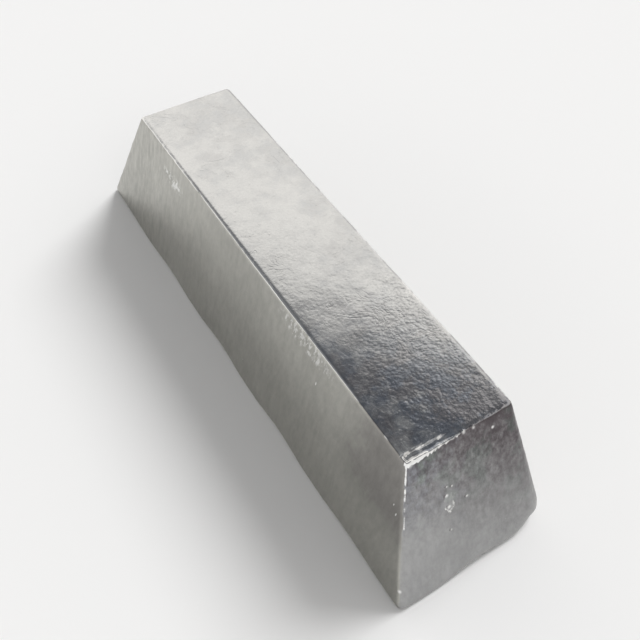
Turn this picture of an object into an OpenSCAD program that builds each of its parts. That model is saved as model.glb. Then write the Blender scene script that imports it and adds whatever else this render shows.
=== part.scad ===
// Magnesium ingot: a long bar cast in an open mould, lying on the wide face that set against the air.
// Millimetres, +Z up. The origin is the middle of the face it rests on, and its length runs along Y.
// The bar tapers to its top face on all four sides, so that it could be tipped out of the mould.

/* [Bar] */
// Height from the resting face to the top face
height = 102; // [85:1:125]
// Length across the foot of the two ends, before the edges are rounded
base_l = 454; // [420:1:500]
// Width across the foot of the two long sides, before the edges are rounded
base_w = 126; // [112:1:145]
// Length of the top face, before its edges are rounded
top_l = 363; // [330:1:400]
// Width of the top face, before its edges are rounded
top_w = 79; // [68:1:96]

/* [Mould edges] */
// Radius of the four upright corners at the foot, before it leans
base_corner_r = 10; // [3:0.5:14]
// How far that radius leans from the left corners to the right: 0 keeps the four alike
base_corner_lean = 0.5; // [0:0.05:0.8]
// Radius of the four upright corners at the top face
top_corner_r = 3; // [1.5:0.5:10]
// Rounding of the edges of the top face
top_edge_r = 2.25; // [1.5:0.25:6]

/* [Cast rim] */
// Rounding of the rim along the sides and ends, where the metal drew in as it set
rim_r = 4.5; // [4:0.25:8]
// Rounding of the rim at the four corners, before it leans
rim_corner_r = 9.5; // [6:0.5:14]
// How far that rounding leans from the left corners to the right: 0 keeps the four alike, and at 1 the left
// corners lose what the right ones gain
rim_corner_lean = 0.6; // [0:0.05:1]
// How much rounder the rim is along the right side, and sharper along the left, as the mould stood askew
rim_lean = 2.4; // [0:0.1:2.5]
// How much the rounding of the rim swells and shrinks along its waves
rim_wave = 2.6; // [0:0.1:3]
// Distance from one swell of the rim to the next
rim_wave_l = 99; // [60:1:150]

/* [Hidden] */

ingot_colour = [0.56, 0.57, 0.57];

// Least radius that a corner or the rim keeps where another rounding eats into it
least_r = 0.5;
// Longest stretch of a straight edge between two points of its outline
edge_step = 13;
// Steps in which an upright corner, the rim and the top edge turn
corner_steps = 6;
rim_steps = 4;
top_steps = 4;
// How quickly the corner rounding of the rim dies out along the edges
corner_reach = 6;
// A second, shorter wave crosses the first, so that no two swells are alike: its length as a share of the
// first, its share of the swell, and the slant at which both waves run over the bar
short_wave = 0.58;
short_wave_share = 0.4;
wave_slant = 0.7;
// Where the long and the short wave stand in their cycle at the middle of the bar
long_wave_start = 185;
short_wave_start = 180;

edge_steps_l = ceil(base_l / edge_step);
edge_steps_w = ceil(base_w / edge_step);

// Half width, half length and corner radius of the mould's plain taper at a height z. The radius at the foot
// depends on the side, as an x share from -1 on the left to 1 on the right.
function half_w(z) = (base_w + (top_w - base_w) * z / height) / 2;
function half_l(z) = (base_l + (top_l - base_l) * z / height) / 2;
function foot_corner_r(side) = base_corner_r * (1 + base_corner_lean * side);
function corner_r(side, z) = foot_corner_r(side) + (top_corner_r - foot_corner_r(side)) * z / height;

// Columns up the wall, counter-clockwise from above, each as [x share, y share, facing angle]:
// the shares place the centre of its corner arc, and they run from -1 to 1 along a straight edge.
function edge(from, to, steps, facing) =
    [for (i = [0 : steps]) concat(from + (to - from) * i / steps, facing)];
function corner(at, facing) =
    [for (i = [1 : corner_steps - 1]) concat(at, facing + 90 * i / corner_steps)];

columns = concat(
    edge([1, -1], [1, 1], edge_steps_l, 0),
    corner([1, 1], 0),
    edge([1, 1], [-1, 1], edge_steps_w, 90),
    corner([-1, 1], 90),
    edge([-1, 1], [-1, -1], edge_steps_l, 180),
    corner([-1, -1], 180),
    edge([-1, -1], [1, -1], edge_steps_w, 270),
    corner([1, -1], 270)
);

// Point of a column at height z, drawn in from the plain taper by an inset
function wall_point(column, z, inset) =
    let (r = max(corner_r(column[0], z) - inset, least_r))
    [
        column[0] * (half_w(z) - inset - r) + r * cos(column[2]),
        column[1] * (half_l(z) - inset - r) + r * sin(column[2]),
        z
    ];

// Rounding of the rim at a column: a plain radius, more at the corners, with waves along the edges
function rim_wave_at(p) =
    (1 - short_wave_share) * sin(360 * (p.y + wave_slant * p.x) / rim_wave_l + long_wave_start)
    + short_wave_share
        * sin(360 * (p.x - wave_slant * p.y) / (short_wave * rim_wave_l) + short_wave_start);
function rim_r_at(column) =
    max(
        rim_r
        + (rim_corner_r - rim_r) * (1 + rim_corner_lean * column[0])
            * pow(abs(column[0] * column[1]), corner_reach)
        + rim_lean * column[0]
        + rim_wave * rim_wave_at(wall_point(column, 0, 0)),
        least_r
    );

// Rings of points from the resting face to the top face
function rim_ring(turn) =
    [for (c = columns) let (r = rim_r_at(c)) wall_point(c, r * (1 - sin(turn)), r * (1 - cos(turn)))];
function top_ring(turn) =
    [for (c = columns) wall_point(c, height - top_edge_r * (1 - sin(turn)), top_edge_r * (1 - cos(turn)))];

rings = concat(
    [for (i = [0 : rim_steps]) rim_ring(90 - 90 * i / rim_steps)],
    [for (i = [0 : top_steps]) top_ring(90 * i / top_steps)]
);

module ingot() {
    n = len(columns);
    last = len(rings) - 1;
    points = [for (ring = rings) each ring];
    resting_face = [for (j = [0 : n - 1]) j];
    top_face = [for (j = [n - 1 : -1 : 0]) last * n + j];
    wall = [
        for (k = [0 : last - 1], j = [0 : n - 1])
            let (a = k * n + j, b = k * n + (j + 1) % n, c = b + n, d = a + n)
            each [[a, d, c], [a, c, b]]
    ];
    color(ingot_colour)
        polyhedron(points, concat([resting_face, top_face], wall));
}

ingot();
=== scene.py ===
"""Looks of a cast magnesium ingot, and the plain studio that shows it.

The bar is one skin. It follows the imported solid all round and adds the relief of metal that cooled
in an open mould. Lengths are in metres, in the frame of the solid: +Z up, the length along Y.
"""

import math

import bmesh
import bpy
import numpy as np
from bpy.props import FloatProperty, FloatVectorProperty, PointerProperty
from mathutils import Matrix, Vector, geometry, noise
from mathutils.bvhtree import BVHTree


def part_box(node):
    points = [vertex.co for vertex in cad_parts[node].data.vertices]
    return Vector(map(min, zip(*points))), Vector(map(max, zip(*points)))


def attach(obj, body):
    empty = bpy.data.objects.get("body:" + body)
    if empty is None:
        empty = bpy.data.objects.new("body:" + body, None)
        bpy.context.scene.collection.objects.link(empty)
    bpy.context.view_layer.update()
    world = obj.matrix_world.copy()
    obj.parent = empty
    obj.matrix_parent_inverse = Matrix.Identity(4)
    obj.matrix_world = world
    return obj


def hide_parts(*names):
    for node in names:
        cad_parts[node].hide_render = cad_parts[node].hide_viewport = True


bl_info = {
    "name": "Magnesium ingot",
    "version": (1, 0, 0),
    "blender": (4, 5, 0),
    "location": "View3D > Sidebar > Ingot",
    "description": "Gives the packed ingot its cast skin and sets up a plain studio",
    "category": "Object",
}

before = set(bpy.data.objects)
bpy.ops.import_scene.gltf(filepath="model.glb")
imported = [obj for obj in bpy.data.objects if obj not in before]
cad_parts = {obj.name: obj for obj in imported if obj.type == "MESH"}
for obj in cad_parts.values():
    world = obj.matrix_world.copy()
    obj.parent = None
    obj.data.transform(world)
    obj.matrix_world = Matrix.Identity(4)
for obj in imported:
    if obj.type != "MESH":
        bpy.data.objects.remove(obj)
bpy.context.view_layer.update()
NODE = "ingot"
BODY = "root"
MM = 0.001

# The camera's picture, and its sensor in millimetres
PHOTO_PIXELS = 640
SENSOR_WIDTH = 36.0

# The floor: half its side, and how far it lies below the bar so that the two do not flicker
FLOOR_HALF = 30.0
FLOOR_DROP = 0.0002

# The light tent: its colours, the way that its opening leans, and where opening and roof begin,
# in degrees above level
TENT_WALL = (1.02, 1.0, 0.97)
TENT_OPENING = (0.165, 0.171, 0.182)
TENT_ROOF = (0.32, 0.325, 0.33)
TENT_RIGHT = (0.3, 0.305, 0.31)
TENT_RIGHT_SHARE = 0.45
OPENING_LEAN = (-0.24, 0.0, 0.971)
OPENING_EDGE = (40.6, 42.6)
ROOF_EDGE = (62, 74)

# Beads on the front end, where drops of metal stuck to the mould: place and radius in millimetres
BEADS = (
    ((-16.0, -198.1, 64.8), 1.2),
    ((-15.4, -201.9, 56.3), 1.3),
    ((-59.2, -218.4, 14.6), 1.6),
    ((-15.1, -195.2, 71.2), 0.8),
    ((-11.5, -195.8, 69.8), 0.8),
    ((-1.8, -201.8, 56.6), 1.0),
    ((-16.4, -209.5, 39.3), 0.8),
    ((22.6, -185.4, 93.3), 1.2),
    ((1.7, -181.4, 100.4), 1.4),
    ((8.8, -181.7, 100.0), 1.3),
    ((-37.4, -181.9, 99.6), 2.4),
)
# In radii of a bead: how far it swells and its painted highlight reaches, and the place and reach of
# the painted shadow beside it
BEAD_REACH = 1.6
BEAD_SHADOW_PLACE = (-1.2, 0.0, 0.6)
BEAD_SHADOW_REACH = 1.8
# A burst gas blister on the front end: its middle, how far its swelling reaches to the sides,
# and how much further it reaches up and down
BLISTER = (-15.0, -200.4, 59.6)
BLISTER_RADIUS = 5.2
BLISTER_TALLNESS = 2.2
# Rubbed patches below the edges of the top face: middle, half height,
# and how much longer they are along the bar
SCUFFS = (
    ((-42.0, -76.0, 95.0), 11.0, 5.0),
    ((42.5, 60.0, 90.0), 13.0, 5.0),
    ((-44.0, 118.0, 84.0), 10.0, 3.0),
    ((46.0, -96.0, 78.0), 9.0, 3.0),
)
# Short upright scratches on the left side: middle and half length
SCRATCHES = (
    ((-47.2, -186.9, 67.2), 3.4),
    ((-48.4, -191.2, 63.0), 3.0),
    ((-50.4, -189.8, 52.6), 1.4),
    ((-51.2, -114.7, 48.7), 1.5),
    ((-45.4, -96.0, 78.0), 4.0),
)
SCRATCH_SLIMNESS = 4.5
# How dark the dark specks of a colour are, and how dark the green of the darkening on the ends is
SPECK_SHADE = 0.6
DARK_GREEN_SHARE = 0.45


def size(name, description, default, unit="LENGTH"):
    """A length, angle or plain number that a user may change."""
    return FloatProperty(name=name, description=description, default=default, unit=unit, precision=5)


def colour(name, description, default):
    """A colour that a user may change, in linear light."""
    return FloatVectorProperty(name=name, description=description, default=default,
                               subtype="COLOR", size=3, min=0.0, max=1.0)


class IngotShape(bpy.types.PropertyGroup):
    """Relief of the cast skin."""
    step: size("Mesh step", "Distance between the points in the middle of a face", 1.3 * MM)
    edge_step: size("Edge step", "Distance between the points along the mould edges", 0.6 * MM)
    edge_reach: size("Edge reach", "How far the closer points run in from an edge", 4.8 * MM)
    foot_reach: size("Foot reach", "How far the close mesh runs in under the bar", 10 * MM)
    foot_step: size("Underside step", "Distance between the points of the hidden underside", 6 * MM)
    warp: size("Warp", "Height of the broad unevenness of the faces", 0.5 * MM)
    dimple: size("Dimples", "Height of the hammered dimples of the top face", 0.06 * MM)
    flow: size("Flow marks", "Height of the upright flow marks on the walls", 0.06 * MM)
    nick: size("Edge nicks", "Height of the beads and nicks along the mould edges", 0.3 * MM)
    lap: size("Lap", "Depth of the cold lap behind the front edge", 1.5 * MM)


class IngotFinish(bpy.types.PropertyGroup):
    """Colours of the cast skin."""
    top: colour("Top", "Metal of the top face", (0.72, 0.72, 0.71))
    side: colour("Sides", "Metal of the long sides", (0.45, 0.446, 0.413))
    end: colour("Ends", "Metal of the two ends", (0.376, 0.376, 0.376))
    # Bright metal is also the colour of the painted highlights on the edges, beads and blister
    bright: colour("Bright metal", "Metal rubbed bright on the edges", (0.92, 0.92, 0.91))
    blue: colour("Blue oxide", "Thin oxide film on the top face and the ends", (0.235, 0.26, 0.31))
    umber: colour("Umber oxide", "Duller oxide between the blue patches", (0.285, 0.28, 0.297))
    green: colour("Green oxide", "Thin oxide film in patches on the ends", (0.24, 0.30, 0.27))
    # Brown is also the colour of the painted shade on the sides near the front, beside the beads and
    # along the edges
    brown: colour("Brown oxide", "Thicker oxide on the upper part of the ends", (0.105, 0.091, 0.097))


class IngotStage(bpy.types.PropertyGroup):
    """Floor, light and camera."""
    floor: colour("Floor", "Pale studio floor", (0.88, 0.88, 0.88))
    key_direction: FloatVectorProperty(
        name="Key direction", description="Where the soft lamp shines from",
        subtype="DIRECTION", default=(1.0, 0.27, 1.03))
    key_spread: size("Key spread", "Angle that the soft lamp fills", math.radians(26), "ROTATION")
    key_strength: size("Key strength", "Strength of the soft lamp", 2.1, "NONE")
    camera_place: FloatVectorProperty(
        name="Camera place", description="Where the camera stands", unit="LENGTH",
        subtype="TRANSLATION", default=(-0.1955, -0.3219, 0.4853))
    camera_yaw: size("Camera yaw", "Turn of the view from +Y towards +X", 0.591, "ROTATION")
    camera_pitch: size("Camera pitch", "Downward tilt of the view", 0.901, "ROTATION")
    camera_roll: size("Camera roll", "Lean of the view", 0.041, "ROTATION")
    focal_pixels: size("Focal length", "Focal length in pixels of the photograph", 763.3, "NONE")


def smooth_step(low, high, x):
    """0 on low's side of the band, 1 on high's side, and a smooth change between them."""
    t = min(max((x - low) / (high - low), 0.0), 1.0)
    return t * t * (3 - 2 * t)


def stripe(x, middle, half, fade):
    """1 within half a width of the middle, falling to 0 over the fade."""
    return smooth_step(fade, 0.0, abs(x - middle) - half)


def lumps(p, span, shift=(0, 0, 0)):
    """Smooth noise around 0 with lumps of one span; a shift picks another part of it."""
    return noise.noise(p / span + Vector(shift))


class Mould:
    """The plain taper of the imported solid, measured on its walls, and its surface."""
    # Shares of the height at which the walls are measured, clear of the rounded edges
    LOW, HIGH = 0.3, 0.7
    # A point lies flat on a face when its normal fits that face better than the next one by this much
    FLAT_LEAD = 0.5

    def __init__(self, solid):
        self.surface = BVHTree.FromObject(solid, bpy.context.evaluated_depsgraph_get())
        low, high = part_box(NODE)
        self.height = high.z
        self.reach = (high - low).length
        self.half_w = self.taper(Vector((1, 0, 0)))
        self.half_l = self.taper(Vector((0, 1, 0)))
        self.side_normal = Vector((self.height, 0, self.half_w[0] - self.half_w[1])).normalized()
        self.end_normal = Vector((0, self.height, self.half_l[0] - self.half_l[1])).normalized()

    def taper(self, outward):
        """Half size at the foot and at the top, along one level direction."""
        at = []
        for share in (self.LOW, self.HIGH):
            start = outward * self.reach + Vector((0, 0, share * self.height))
            hit = self.surface.ray_cast(start, -outward)[0]
            at.append(hit.dot(outward))
        slope = (at[1] - at[0]) / (self.HIGH - self.LOW)
        foot = at[0] - slope * self.LOW
        return foot, foot + slope

    def corner(self, u, v, inset, z):
        """Point of the sharp taper at height z, drawn in by an inset; u and v run from -1 to 1."""
        t = z / self.height
        across = self.half_w[0] + (self.half_w[1] - self.half_w[0]) * t - inset
        along = self.half_l[0] + (self.half_l[1] - self.half_l[0]) * t - inset
        return Vector((u * across, v * along, z))

    def turn(self, normal):
        """0 on a flat face, rising to 1 in the middle of a rounded edge."""
        n = Vector((abs(normal.x), abs(normal.y), normal.z))
        facing = sorted((abs(n.z), n.dot(self.side_normal), n.dot(self.end_normal)))
        return 1 - min((facing[2] - facing[1]) / self.FLAT_LEAD, 1)


def graded(length, shape):
    """Distances from 0 to a length, closer together near both ends."""
    fine = round(shape.edge_reach / shape.edge_step)
    clear = length - 2 * shape.edge_reach
    middle = round(clear / shape.step)
    start = [shape.edge_reach * i / fine for i in range(fine)]
    between = [shape.edge_reach + clear * i / middle for i in range(middle + 1)]
    return start + between + [length - x for x in reversed(start)]


def shares(half, shape):
    """The same over a whole width, as shares of its half from -1 to 1, rounded so that sides match."""
    return [round(d / half - 1, 6) for d in graded(2 * half, shape)]


def skin_grid(mould, shape):
    """Sharp points and quads of the walls and the top face, and the ring that the underside closes."""
    us = shares(mould.half_w[1], shape)
    vs = shares(mould.half_l[1], shape)
    right = [(1, v) for v in vs[:-1]]
    rear = [(-u, 1) for u in us[:-1]]
    columns = right + rear + [(-u, -v) for u, v in right + rear]
    n = len(columns)
    under = round(shape.foot_reach / shape.step)
    rows = [(shape.foot_reach * (1 - k / under), 0.0) for k in range(under)]
    rows += [(0.0, z) for z in graded(mould.height, shape)]
    points = [mould.corner(u, v, inset, z) for inset, z in rows for u, v in columns]
    faces = []
    for k in range(len(rows) - 1):
        for j in range(n):
            a, b = k * n + j, k * n + (j + 1) % n
            faces.append((a, b, b + n, a + n))

    across, along = len(us) - 1, len(vs) - 1
    rim = {column: (len(rows) - 1) * n + j for j, column in enumerate(columns)}
    place = {}
    for j, v in enumerate(vs):
        for i, u in enumerate(us):
            if i in (0, across) or j in (0, along):
                place[i, j] = rim[u, v]
            else:
                place[i, j] = len(points)
                points.append(mould.corner(u, v, 0.0, mould.height))
    for j in range(along):
        for i in range(across):
            faces.append((place[i, j], place[i + 1, j], place[i + 1, j + 1], place[i, j + 1]))
    return points, faces, n


def underside(points, ring, step):
    """Points and triangles that close the bar below, inside its lowest ring."""
    inside_only, merge_gap = 1, 1e-7
    loop = [Vector((p.x, p.y)) for p in points[:ring]]
    low = Vector((min(p.x for p in loop), min(p.y for p in loop)))
    inner = [Vector((x, y)) for x in np.arange(low.x + step, -low.x - step / 2, step)
             for y in np.arange(low.y + step, -low.y - step / 2, step)]
    edges = [(j, (j + 1) % ring) for j in range(ring)]
    flat, _, triangles, origin, _, _ = geometry.delaunay_2d_cdt(
        loop + inner, edges, [], inside_only, merge_gap)
    place = {}
    fresh = []
    for k, source in enumerate(origin):
        if source and source[0] < ring:
            place[k] = source[0]
        else:
            place[k] = len(points) + len(fresh)
            fresh.append(Vector((flat[k].x, flat[k].y, 0.0)))
    return fresh, [tuple(place[k] for k in reversed(t)) for t in triangles]


class Relief:
    """Height of the cast skin over the solid along its normal, and the brightness of its edges from
    rubbing, painted highlights and painted shade.

    A pair of values is a band, over which the share that it is named for changes. Bands of facing
    are parts of the normal: 1 faces that way, 0 stands square to it.
    """
    LAP_WIDTH = 6.6 * MM
    LAP_LENGTH = 44 * MM
    LAP_SLOPE = 2.6 * MM
    # Where the painted sheen on the lap's film begins
    FILM_START = (7 * MM, 14 * MM)
    LAP_FACING = (0.72, 0.95)
    # Where the painted shade lies in the lap, and where the painted highlight lies on its lip
    LAP_SHADE_FACING = (0.72, 0.92)
    LIP_FACING = (0.3, 0.8)
    TOP_FACING = (0.7, 0.97)
    WALL_FACING = (0.4, 0.7)
    EDGE_FACING = (0.3, 0.6)
    NICKED_TURN = (0.2, 0.8)
    FOOT_CALM = (0, 8 * MM)
    GRITTY = (-140 * MM, -50 * MM)
    RIGHTWARD = (-8 * MM, 14 * MM)
    # Depth over which the painted highlight of the upright edges fades, and the stretch near the front
    # where the left edge is dull
    SHINE_DEPTH = (5 * MM, 50 * MM)
    DULL_STRETCH = (118 * MM, 150 * MM)
    # The painted highlight of the brim at the front left
    BRIM_CORNER = (8 * MM, 24 * MM)
    BRIM_DEPTH = 2.4 * MM
    BRIM_SHRINK = 0.04
    BRIM_FADE = 1.8 * MM
    DRIP_LENGTH = 1.6 * MM
    # Bands of painted shade: along the right of the front edge, beside the left edge and behind the
    # front one
    SHADE_FACING_UP = (0.2, 0.45)
    SHADE_FACING_FRONT = (0.05, 0.25)
    SHADE_BAND_FACING = (0.8, 0.95)
    SHADE_BAND_BESIDE = (4.6 * MM, 2.4 * MM)
    SHADE_BAND_BEHIND = (6.8 * MM, 3.4 * MM)

    def __init__(self, shape, mould):
        self.shape = shape
        self.front = -mould.half_l[1]
        self.left = -mould.half_w[1]
        self.top = mould.height

    def warp(self, p):
        return lumps(p, 90 * MM) + 0.45 * lumps(p, 32 * MM, (7, 3, 5))

    def dimples(self, p):
        return lumps(p, 7 * MM) + 0.6 * lumps(p, 4.5 * MM, (2, 9, 4))

    def flow_marks(self, p):
        q = Vector((p.x / (6 * MM), p.y / (6 * MM), p.z / (45 * MM)))
        return noise.noise(q) + 0.5 * noise.noise(2.1 * q + Vector((4, 1, 8)))

    def nicks(self, p):
        broad = lumps(p, 23 * MM, (5, 5, 1))
        return broad + 0.8 * lumps(p, 8 * MM) + 0.8 * lumps(p, 3.2 * MM, (1, 6, 2))

    def grit(self, p):
        """1 at the front, where the top face is grainy, falling to a little at the rear left."""
        return 1 - 0.7 * smooth_step(*self.GRITTY, p.y - 0.9 * p.x)

    def lap(self, p):
        """Cold lap behind the left of the front edge, where one run of metal chilled under the next.

        Gives the share of the full drop, and how bright the torn lip and the film below it are: a
        painted highlight and a painted sheen.
        """
        across = p.x - self.left
        along = 1 - smooth_step(0.55 * self.LAP_LENGTH, self.LAP_LENGTH, across)
        ragged = 0.9 * MM * lumps(p, 5 * MM, (3, 3, 3))
        width = self.LAP_WIDTH * (1 - 0.3 * across / self.LAP_LENGTH)
        back = p.y - self.front - width - ragged
        drop = 1 - smooth_step(-self.LAP_SLOPE, 0.0, back)
        lip = stripe(back, middle=-0.45 * MM, half=0.5 * MM, fade=0.5 * MM)
        film = stripe(back, middle=-2.2 * MM, half=1.6 * MM, fade=0.8 * MM)
        film *= smooth_step(*self.FILM_START, across)
        return along * drop, along * max(lip, 0.78 * film)

    def shine(self, p, normal, turn, nick, left):
        """Bright metal along the middle of an edge, partly from rubbing and partly painted highlight:
        most on level edges, in beads on upright ones.
        """
        level_edge = smooth_step(*self.EDGE_FACING, normal.z)
        frontward = smooth_step(*self.EDGE_FACING, -normal.y)
        high = 1 - smooth_step(*self.SHINE_DEPTH, self.top - p.z)
        beading = 1 + 1.3 * noise.noise(Vector((0, 0, p.z / (3.5 * MM))))
        upright = -0.25 + (0.35 + 0.35 * left) * high * beading
        dull = 0.95 * left * (1 - frontward) * smooth_step(*self.DULL_STRETCH, -p.y)
        level = (0.55 + 0.65 * left) * (1 - dull)
        middle = smooth_step(0.3 * (1 - level_edge), 0.8 - 0.2 * level_edge, turn)
        return middle * (upright + (level - upright) * level_edge + (0.13 + 0.47 * level_edge) * nick)

    def brim(self, p, normal, left):
        """Painted highlight along the brim of the front end to the left, which runs down the end in
        drips.
        """
        across = p.x - self.left
        corner = 1 - smooth_step(*self.BRIM_CORNER, across)
        facing = smooth_step(0.3 - 0.18 * corner, 0.6 - 0.25 * corner, -normal.y)
        drips = lumps(p, 9 * MM, (p.x / (1.8 * MM), 0, 0))
        deep = self.BRIM_DEPTH - self.BRIM_SHRINK * across
        below = self.top - p.z + self.DRIP_LENGTH * drips
        return left * facing * (1 - smooth_step(deep, deep + self.BRIM_FADE, below))

    def painted_shade_bands(self, p, normal, left):
        """Ragged bands of painted shade on the top face, beside the left edge and behind the front one.
        """
        ragged = 2.2 * MM * lumps(p, 2.6 * MM) + 1.5 * MM * lumps(p, 11 * MM)
        beside = smooth_step(*self.SHADE_BAND_BESIDE, p.x - self.left + ragged)
        behind = (1 - left) * smooth_step(*self.SHADE_BAND_BEHIND, p.y - self.front + ragged)
        return smooth_step(*self.SHADE_BAND_FACING, normal.z) * max(0.45 * beside, 0.55 * behind)

    def wear_and_painted_light(self, p, normal, turn, nick):
        """1 where an edge is bright from rubbing and painted highlights, and below 0 where painted
        shade lies on it.

        Edges are brightest to the left, and the front edge has painted shade to the right.
        """
        left = 1 - smooth_step(*self.RIGHTWARD, p.x)
        bright = max(self.shine(p, normal, turn, nick, left),
                     self.brim(p, normal, left) * (0.9 + 0.3 * nick))
        # Painted shade along the right of the front edge
        shaded_front_edge = (1 - left) * smooth_step(*self.SHADE_FACING_UP, normal.z)
        shaded_front_edge *= smooth_step(*self.SHADE_FACING_FRONT, -normal.y) * min(4 * turn, 1)
        worn_and_painted = bright * (1 - shaded_front_edge) + shaded_front_edge * (0.35 * nick - 0.45)
        return worn_and_painted - self.painted_shade_bands(p, normal, left)

    def at(self, p, normal, turn):
        """Height of the skin and wear at a point of the solid."""
        s = self.shape
        top = smooth_step(*self.TOP_FACING, normal.z)
        wall = 1 - smooth_step(*self.WALL_FACING, abs(normal.z))
        nick = self.nicks(p)
        drop, lip = self.lap(p)
        torn = lumps(p, 2.4 * MM)

        calm = smooth_step(*self.FOOT_CALM, p.z)
        height = s.warp * (self.warp(p) * (1 - 0.5 * top) * calm - 0.5 * top)
        height += s.dimple * top * self.grit(p) * self.dimples(p)
        height += s.flow * wall * self.flow_marks(p)
        height += s.nick * (0.4 + 0.6 * abs(normal.y)) * smooth_step(*self.NICKED_TURN, turn) * nick
        sunk = smooth_step(*self.LAP_FACING, normal.z + 0.12 * torn) * drop
        height -= s.lap * sunk * (1 + 0.06 * lumps(p, 1.7 * MM))

        # Painted shade in the sunk channel of the cold lap
        lap_shade = 0.6 * smooth_step(*self.LAP_SHADE_FACING, normal.z + 0.2 * torn) * drop
        # Painted highlight on the lap's torn lip and painted sheen on the film below it
        lip_shine = smooth_step(*self.LIP_FACING, normal.z) * lip * (0.75 + 0.6 * nick)
        return height, max(self.wear_and_painted_light(p, normal, turn, nick) - lap_shade, lip_shine)


def bar_mesh(shape):
    """Mesh of the cast bar, with a value on each point for its edges: bright from rubbing and painted
    highlights, dark from painted shade.
    """
    smooth_passes, smooth_share = 3, 0.5
    mould = Mould(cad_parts[NODE])
    points, faces, ring = skin_grid(mould, shape)
    fresh, triangles = underside(points, ring, shape.foot_step)
    points += fresh
    faces += triangles

    mesh = bpy.data.meshes.new("cast_bar")
    mesh.from_pydata([mould.surface.find_nearest(p)[0] for p in points], [], faces)
    bm = bmesh.new()
    bm.from_mesh(mesh)
    for _ in range(smooth_passes):
        bmesh.ops.smooth_vert(bm, verts=bm.verts, factor=smooth_share,
                              use_axis_x=True, use_axis_y=True, use_axis_z=True)
    bm.normal_update()
    relief = Relief(shape, mould)
    # Edge values carry the rubbing, the painted highlights and the painted shade
    heights, rubbed_and_painted = zip(*(relief.at(v.co, v.normal, mould.turn(v.normal)) for v in bm.verts))
    moves = [v.normal * h for v, h in zip(bm.verts, heights)]
    for v, move in zip(bm.verts, moves):
        v.co += move
        v.co.z = min(max(v.co.z, 0.0), mould.height)
    bm.to_mesh(mesh)
    bm.free()
    mesh.shade_smooth()
    mesh.attributes.new("edge", "FLOAT", "POINT").data.foreach_set("value", rubbed_and_painted)
    return mesh


class Value:
    """An output of a shader graph. Arithmetic on it adds Math nodes."""

    def __init__(self, graph, socket):
        self.graph = graph
        self.socket = socket

    def math(self, operation, *terms):
        return self.graph.node("ShaderNodeMath", {"operation": operation}, dict(enumerate(terms)))

    def __add__(self, other):
        return self.math("ADD", self, other)

    def __radd__(self, other):
        return self.math("ADD", other, self)

    def __sub__(self, other):
        return self.math("SUBTRACT", self, other)

    def __rsub__(self, other):
        return self.math("SUBTRACT", other, self)

    def __mul__(self, other):
        return self.math("MULTIPLY", self, other)

    def __rmul__(self, other):
        return self.math("MULTIPLY", other, self)

    def __abs__(self):
        return self.math("ABSOLUTE", self)


class Graph:
    """A material's or the world's node tree."""

    def __init__(self, owner):
        owner.use_nodes = True
        self.tree = owner.node_tree
        self.tree.nodes.clear()

    def node(self, kind, settings=None, inputs=None, output=0):
        """Adds a node: settings first, then the values or links of its sockets. Gives one output."""
        made = self.tree.nodes.new(kind)
        for name, value in (settings or {}).items():
            setattr(made, name, value)
        for name, value in (inputs or {}).items():
            if isinstance(value, Value):
                self.tree.links.new(value.socket, made.inputs[name])
            else:
                made.inputs[name].default_value = value
        return Value(self, made.outputs[output]) if made.outputs else made

    def axis(self, vector, letter):
        return self.node("ShaderNodeSeparateXYZ", None, {0: vector}, output=letter)

    def stretch(self, vector, by):
        return self.node("ShaderNodeVectorMath", {"operation": "MULTIPLY"}, {0: vector, 1: by})

    def noise(self, place, scale, detail=2.0, roughness=0.5, distortion=0.0, upright=1.0):
        """Lumps of about 1 / scale metres, around 0.5; an upright below 1 draws them out along Z."""
        if upright != 1.0:
            place = self.stretch(place, (1.0, 1.0, upright))
        return self.node("ShaderNodeTexNoise", None, {
            "Vector": place, "Scale": scale, "Detail": detail,
            "Roughness": roughness, "Distortion": distortion})

    def rise(self, value, low, high):
        """0 below low, 1 above high, smooth between."""
        return self.node("ShaderNodeMapRange", {"interpolation_type": "SMOOTHSTEP"}, {
            "Value": value, "From Min": low, "From Max": high})

    def knob(self, place, centre, radius, shrink=(1.0, 1.0, 1.0)):
        """1 at a place in millimetres, falling smoothly to 0 at a radius; shrink makes it longer."""
        near = self.node("ShaderNodeVectorMath", {"operation": "SUBTRACT"},
                         {0: place, 1: [c * MM for c in centre]})
        gap = self.node("ShaderNodeVectorMath", {"operation": "LENGTH"},
                        {0: self.stretch(near, shrink)}, output="Value")
        return 1 - self.rise(gap, 0.0, radius * MM)

    def mix(self, share, a, b):
        """Colour that goes from a to b."""
        return self.node("ShaderNodeMix", {"data_type": "RGBA"}, {0: share, 6: a, 7: b}, output=2)

    def tint(self, tone, by):
        """A colour made lighter or darker."""
        return self.stretch(tone, (by, by, by))

    def speckle(self, tone, speck, spread, share, light):
        """A colour with light and dark specks: speck goes from -spread, light, to spread, dark."""
        darkness = share * self.rise(speck, -spread, spread)
        return self.mix(darkness, self.tint(tone, light), self.tint(tone, SPECK_SHADE))


def rgba(rgb):
    return (*rgb, 1.0)


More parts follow.
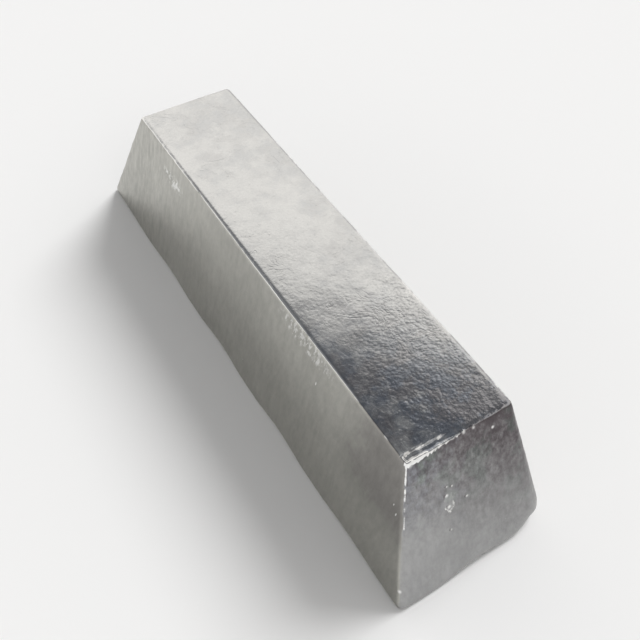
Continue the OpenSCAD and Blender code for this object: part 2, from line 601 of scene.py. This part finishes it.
class Surface:
    """Where a point of the bar lies, which way it faces, and the noises that its finish is made of."""

    def __init__(self, g):
        self.place = place = g.node("ShaderNodeTexCoord", output="Object")
        normal = g.node("ShaderNodeTexCoord", output="Normal")
        self.x, self.y, self.z = (g.axis(place, letter) for letter in "XYZ")
        # Edge values: bright metal from rubbing and painted highlights above 0, painted shade below 0
        self.edge = g.node("ShaderNodeAttribute", {"attribute_name": "edge"}, output="Fac")
        self.flat = g.rise(abs(g.axis(normal, "Z")), 0.72, 0.95)
        self.end = g.rise(abs(g.axis(normal, "Y")), 0.4, 0.65)
        self.wall = 1 - self.flat

        # Noises, from the broadest to the finest, then those drawn out upwards
        self.cloud = g.noise(place, 16.0, detail=3.0, roughness=0.6)
        self.blotch = g.noise(place, 70.0, detail=4.0, roughness=0.65)
        self.swell = g.noise(place, 95.0, detail=3.0, roughness=0.55)
        self.wrinkle = g.noise(place, 430.0, detail=2.0, roughness=0.6, distortion=0.5)
        self.grain = g.noise(place, 820.0, detail=2.0, roughness=0.6)
        self.mottle = g.noise(place, 260.0, detail=5.0, roughness=0.72, upright=0.6)
        self.fleck = g.noise(place, 420.0, detail=3.0, roughness=0.7, upright=0.45)
        self.streak = g.noise(place, 240.0, detail=3.0, roughness=0.6, upright=0.1)

        # Parts of the bar with a finish of their own, and painted shade on the sides near the front
        self.front = 1 - g.rise(self.x + self.y, -0.16, -0.07)
        self.upper = g.rise(self.z + 0.05 * (self.cloud - 0.5), 0.04, 0.095)
        grainy = 0.9 * self.x - self.y + 0.06 * (self.blotch - 0.5)
        self.grit = 0.3 + 0.7 * g.rise(grainy, 0.06, 0.12)
        fold = abs(g.noise(place, 50.0, detail=3.0, roughness=0.6, distortion=1.2) - 0.5)
        creased = (1 - g.rise(fold, 0.0, 0.035)) * g.rise(self.cloud, 0.45, 0.6)
        self.crease = creased * (1 - 0.8 * self.front)
        far = g.rise(0.5 * self.x + self.y, -0.12, 0.06) * g.rise(self.x + 0.5 * self.y, -0.02, 0.03)
        drawn = g.noise(place, 330.0, detail=4.0, roughness=0.65, upright=0.07)
        self.drag = far * (drawn - 0.5)
        # Painted shade on the sides near the front end, above the foot
        ahead = g.rise(0.04 * (self.blotch - 0.5) - self.y, 0.115, 0.165)
        self.painted_front_shade = ahead * g.rise(self.z, 0.03, 0.065) * (1 - self.end)


def top_colour(g, s, finish):
    """Bright metal behind, and a patchy film of blue and umber oxide towards the front."""
    patches = 0.5 * s.blotch + 0.5 * s.cloud + 0.1 * s.front + 1.6 * s.x
    film = g.rise(patches, 0.42, 0.6) * (0.2 + 0.8 * s.front)
    hue = g.rise(g.noise(s.place, 55.0, detail=4.0, roughness=0.65), 0.42, 0.58)
    tone = g.mix(0.9 * film, rgba(finish.top), g.mix(hue, rgba(finish.blue), rgba(finish.umber)))
    speck = s.grit * (1.4 * s.grain + 0.6 * s.wrinkle - 1) + 0.1 * s.crease
    return g.speckle(tone, speck, spread=0.4, share=0.4, light=1.12)


def wall_colour(g, s, finish):
    """Satin sides with painted shade near the front, and ends that grow darker towards the top and to
    the right.
    """
    side = g.mix(0.5 * s.painted_front_shade, rgba(finish.side), rgba(finish.brown))
    tone = g.mix(s.end, side, rgba(finish.end))
    haze = s.upper * g.rise(s.blotch - 4.0 * s.x, 0.42, 0.68)
    hue = g.rise(g.noise(s.place, 60.0, detail=3.0, roughness=0.6), 0.5, 0.62)
    tone = g.mix(0.5 * s.end * haze, tone, g.mix(hue, rgba(finish.blue), rgba(finish.green)))
    spread = (0.45 + 1.15 * s.upper) * (s.mottle - 0.5) + 0.75 * s.upper * (s.fleck - 0.5)
    # Darker towards the top and to the right of the ends, in brown and dark green
    upper_right_dark = g.rise(11.0 * s.z + 6.5 * s.x + spread, 0.12, 1.4)
    dark_green = rgba([DARK_GREEN_SHARE * c for c in finish.green])
    tone = g.mix(s.end * upper_right_dark, tone, g.mix(0.5 * hue, rgba(finish.brown), dark_green))
    pit = s.end * s.upper * g.rise(s.fleck + 0.3 * (s.blotch - 0.5), 0.58, 0.68)
    tone = g.mix(0.35 * pit, tone, rgba(finish.brown))
    speck = 0.4 * s.cloud + 0.4 * s.mottle + 0.35 * s.streak + 0.8 * s.drag - 0.575
    return g.speckle(tone, speck, spread=0.36, share=0.75, light=1.24)


def blister(g, s):
    """Painted highlight on the burst blister: a bright broken ring, fainter in its upper half, and the
    crater inside it.
    """
    tall = (1.0, 1 / BLISTER_TALLNESS, 1 / BLISTER_TALLNESS)
    swelling = g.knob(s.place, BLISTER, BLISTER_RADIUS, tall)
    swelling = swelling + 0.5 * (s.wrinkle - 0.5) + 0.4 * (s.grain - 0.5)
    crater = g.rise(swelling, 0.32, 0.6)
    ring = (g.rise(swelling, 0.12, 0.3) - crater) * (1.3 - 0.95 * g.rise(s.z, 0.052, 0.064))
    broken = g.rise(s.fleck + 0.5 * (s.grain - 0.5), 0.42, 0.6)
    return ring * (0.35 + 0.9 * broken), crater


def bright_metal_and_highlights(g, s):
    """Share of bright metal on edges, beads, blister, scuffs and scratches, and their relief; on the
    edges partly from rubbing and partly painted highlight, on the beads and the blister painted
    highlight.
    """
    worn_and_painted = g.rise(s.edge + 0.5 * (s.grain - 0.5), 0.35, 0.75)
    beads = sum(g.knob(s.place, centre, BEAD_REACH * radius) for centre, radius in BEADS)
    ring, crater = blister(g, s)
    scuffs = sum(g.knob(s.place, centre, radius, (1.0, 1 / length, 1.0))
                 for centre, radius, length in SCUFFS)
    flecks = g.rise(scuffs, 0.05, 0.7) * g.rise(s.fleck, 0.47, 0.58)
    slim = (SCRATCH_SLIMNESS, SCRATCH_SLIMNESS, 1.0)
    scratches = sum(g.knob(s.place, centre, length, slim) for centre, length in SCRATCHES)
    scored = 1.2 * g.rise(scratches, 0.05, 0.5) * g.rise(s.fleck, 0.4, 0.55)
    # The beads, the blister's ring and its crater are painted highlights in bright metal
    share = worn_and_painted + 0.8 * beads + 0.62 * ring + 0.16 * crater + 0.6 * flecks + scored
    return g.rise(share, 0.0, 1.0), 0.4 * beads + 0.25 * ring + 0.08 * flecks


def painted_bead_shadow(g, s):
    """Painted shadow on the upper left of each bead."""
    spots = []
    for centre, radius in BEADS:
        beside = [c + shift * radius for c, shift in zip(centre, BEAD_SHADOW_PLACE)]
        spots.append(g.knob(s.place, beside, BEAD_SHADOW_REACH * radius))
    return g.rise(sum(spots), 0.1, 0.6)


def skin_relief(g, s):
    """Fine relief in millimetres: pebbles on the top face, and walls that are roughest on the ends."""
    cell = g.node("ShaderNodeTexVoronoi", {"feature": "SMOOTH_F1"},
                  {"Vector": s.place, "Scale": 420.0, "Smoothness": 0.5}, output="Distance")
    pebbles = s.grit * (0.065 * s.wrinkle + 0.02 * s.grain - 0.07 * cell)
    pebbles = pebbles + 0.11 * s.swell - 0.03 * s.crease
    rough_end = s.end * s.upper
    smooth_wall = 0.03 * s.streak + 0.04 * s.grain + 0.16 * s.blotch + 0.12 * s.drag
    walls = rough_end * (0.1 * s.wrinkle + 0.065 * s.grain) + (1 - rough_end) * smooth_wall
    return s.flat * pebbles + s.wall * walls


def metal_material(finish):
    """Cast magnesium: pebbled on top, smooth on the walls, darker towards the top and right on the
    ends, bright on its edges; with painted highlights and painted shade.
    """
    material = bpy.data.materials.new("cast_magnesium")
    g = Graph(material)
    s = Surface(g)
    bright_and_highlight, raised = bright_metal_and_highlights(g, s)
    tone = g.mix(s.flat, wall_colour(g, s, finish), top_colour(g, s, finish))
    # Painted shadow beside each bead, in brown
    tone = g.mix(0.5 * painted_bead_shadow(g, s), tone, rgba(finish.brown))
    # Painted shade where the edge values fall below 0, in brown
    tone = g.mix(0.85 * g.rise(-1 * s.edge, 0.05, 0.45), tone, rgba(finish.brown))
    bump = g.node("ShaderNodeBump", None, {
        "Strength": 1.0, "Distance": MM, "Height": skin_relief(g, s) + raised})
    shader = g.node("ShaderNodeBsdfPrincipled", None, {
        # Bright metal of the edges' rubbing and of the painted highlights
        "Base Color": g.mix(bright_and_highlight, tone, rgba(finish.bright)),
        "Roughness": 0.32 - 0.14 * s.flat + 0.1 * (s.cloud - 0.5) + 0.04 * bright_and_highlight,
        "Metallic": 1.0,
        "Normal": bump})
    g.node("ShaderNodeOutputMaterial", None, {"Surface": shader})
    return material


def floor_material(stage):
    material = bpy.data.materials.new("studio_floor")
    g = Graph(material)
    shader = g.node("ShaderNodeBsdfDiffuse", None, {"Color": rgba(stage.floor)})
    g.node("ShaderNodeOutputMaterial", None, {"Surface": shader})
    return material


def add_object(name, data):
    made = bpy.data.objects.new(name, data)
    bpy.context.scene.collection.objects.link(made)
    return made


def add_floor(stage):
    """A level floor that the bar rests on."""
    corners = [(x * FLOOR_HALF, y * FLOOR_HALF, 0) for x, y in ((-1, -1), (1, -1), (1, 1), (-1, 1))]
    mesh = bpy.data.meshes.new("studio_floor")
    mesh.from_pydata(corners, [], [(0, 1, 2, 3)])
    mesh.materials.append(floor_material(stage))
    floor = add_object("studio_floor", mesh)
    floor.location.z = -FLOOR_DROP


def sines(degrees):
    return [math.sin(math.radians(d)) for d in degrees]


def add_world():
    """A light tent: pale walls, duller low on the right, a dark opening above them and a grey roof."""
    world = bpy.data.worlds.new("light_tent")
    bpy.context.scene.world = world
    g = Graph(world)
    direction = g.node("ShaderNodeTexCoord", output="Generated")
    height = g.axis(direction, "Z")
    lean = g.node("ShaderNodeVectorMath", {"operation": "DOT_PRODUCT"},
                  {0: direction, 1: OPENING_LEAN}, output="Value")
    tone = g.mix(g.rise(lean, *sines(OPENING_EDGE)), rgba(TENT_WALL), rgba(TENT_OPENING))
    tone = g.mix(g.rise(height, *sines(ROOF_EDGE)), tone, rgba(TENT_ROOF))
    right = g.rise(g.axis(direction, "X"), 0.1, 0.45) * (1 - g.rise(height, 0.3, 0.5))
    tone = g.mix(TENT_RIGHT_SHARE * right, tone, rgba(TENT_RIGHT))
    background = g.node("ShaderNodeBackground", None, {"Color": tone, "Strength": 1.0})
    g.node("ShaderNodeOutputWorld", None, {"Surface": background})


def add_key(stage):
    """A far, soft lamp that lights the floor; the tent alone shows in the metal."""
    lamp = bpy.data.lights.new("right_key", "SUN")
    lamp.angle = stage.key_spread
    lamp.energy = stage.key_strength
    made = add_object("right_key", lamp)
    made.visible_glossy = False
    made.matrix_world = Vector(stage.key_direction).to_track_quat("Z", "Y").to_matrix().to_4x4()


def add_camera(stage):
    """The camera of the photograph."""
    data = bpy.data.cameras.new("photo_view")
    data.sensor_width = SENSOR_WIDTH
    data.lens = stage.focal_pixels * SENSOR_WIDTH / PHOTO_PIXELS
    camera = add_object("photo_view", data)
    turn = (Matrix.Rotation(-stage.camera_yaw, 4, "Z")
            @ Matrix.Rotation(math.pi / 2 - stage.camera_pitch, 4, "X")
            @ Matrix.Rotation(stage.camera_roll, 4, "Z"))
    camera.matrix_world = Matrix.Translation(stage.camera_place) @ turn
    bpy.context.scene.camera = camera


class INGOT_OT_cast_bar(bpy.types.Operator):
    """Cast the bar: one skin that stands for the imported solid"""
    bl_idname = "ingot.cast_bar"
    bl_label = "Cast bar"

    def execute(self, context):
        bar = add_object("cast_bar", bar_mesh(context.scene.ingot_shape))
        bar.data.materials.append(metal_material(context.scene.ingot_finish))
        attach(bar, BODY)
        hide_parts(NODE)
        return {"FINISHED"}


class INGOT_OT_set_stage(bpy.types.Operator):
    """Set the stage: pale floor, soft light and the camera of the photograph"""
    bl_idname = "ingot.set_stage"
    bl_label = "Set stage"

    def execute(self, context):
        stage = context.scene.ingot_stage
        add_floor(stage)
        add_world()
        add_key(stage)
        add_camera(stage)
        context.scene.view_settings.view_transform = "Standard"
        return {"FINISHED"}


class VIEW3D_PT_ingot(bpy.types.Panel):
    """Sizes and colours of the ingot"""
    bl_label = "Magnesium ingot"
    bl_space_type = "VIEW_3D"
    bl_region_type = "UI"
    bl_category = "Ingot"

    def draw(self, context):
        scene = context.scene
        for group in (scene.ingot_shape, scene.ingot_finish, scene.ingot_stage):
            box = self.layout.box()
            for name in group.bl_rna.properties.keys():
                if name not in ("rna_type", "name"):
                    box.prop(group, name)
        self.layout.operator(INGOT_OT_cast_bar.bl_idname)
        self.layout.operator(INGOT_OT_set_stage.bl_idname)


CLASSES = (IngotShape, IngotFinish, IngotStage, INGOT_OT_cast_bar, INGOT_OT_set_stage, VIEW3D_PT_ingot)


def register():
    for cls in CLASSES:
        bpy.utils.register_class(cls)
    bpy.types.Scene.ingot_shape = PointerProperty(type=IngotShape)
    bpy.types.Scene.ingot_finish = PointerProperty(type=IngotFinish)
    bpy.types.Scene.ingot_stage = PointerProperty(type=IngotStage)


def unregister():
    del bpy.types.Scene.ingot_stage
    del bpy.types.Scene.ingot_finish
    del bpy.types.Scene.ingot_shape
    for cls in reversed(CLASSES):
        bpy.utils.unregister_class(cls)


def main():
    register()
    bpy.ops.ingot.cast_bar()
    bpy.ops.ingot.set_stage()


if __name__ == "__main__":
    main()
